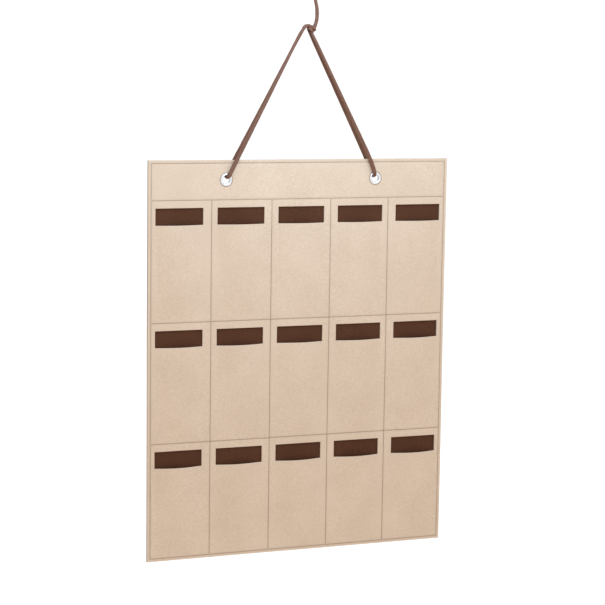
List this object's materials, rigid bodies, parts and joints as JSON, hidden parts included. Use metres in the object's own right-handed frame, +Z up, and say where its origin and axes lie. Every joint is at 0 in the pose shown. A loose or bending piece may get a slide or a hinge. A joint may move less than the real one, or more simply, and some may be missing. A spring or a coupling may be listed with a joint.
{
  "type": "hanging eyewear organizer",
  "caption": "Hanging felt organizer for glasses: a flat sewn panel with windowed pockets in rows, two metal eyelets and a doubled cord with a hanging loop.",
  "frame": {"origin": "where the inside of the hanging loop bears on its hook", "axes": "+Z up; the front, with the windows, faces -Y and the back face +Y; +X to the right seen from the front"},
  "size_m": [0.4, 0.0162, 0.7621],
  "materials": {
    "front_felt": "matte",
    "back_felt": "matte",
    "thread": "matte",
    "eyelet_metal": "polished",
    "cord": "satin"
  },
  "bodies": {
    "hook_loop": {"hanging_loop": "cord", "hanging_knot": "cord"},
    "drop": {"drop_cord": "cord"},
    "sling": {"apex_wrap": "cord", "left_leg": "cord", "right_leg": "cord"},
    "panel": {"back_sheet": "back_felt", "front_sheet": "front_felt", "border_stitching": "thread", "header_seam": "thread", "row_seam_upper": "thread", "row_seam_lower": "thread", "column_seam_1": "thread", "column_seam_2": "thread", "column_seam_3": "thread", "column_seam_4": "thread", "eyelet_left": "eyelet_metal", "eyelet_right": "eyelet_metal", "eyelet_washer_left": "eyelet_metal", "eyelet_washer_right": "eyelet_metal"}
  },
  "joints": [
    {"name": "fore_aft_swing", "type": "hinge", "parent": "hook_loop", "child": "drop", "pos_m": [0, 0, -0.0516], "axis": [1, 0, 0], "range_deg": [-35, 35], "deforming": ["drop_cord"]},
    {"name": "side_swing", "type": "hinge", "parent": "drop", "child": "sling", "pos_m": [0.001, 0, -0.0916], "axis": [0, 1, 0], "range_deg": [-30, 30], "deforming": ["drop_cord"]},
    {"name": "panel_tilt", "type": "hinge", "parent": "sling", "child": "panel", "pos_m": [-0.015, 0, -0.2576], "axis": [1, 0, 0], "range_deg": [-60, 60], "deforming": ["left_leg", "right_leg"]}
  ]
}
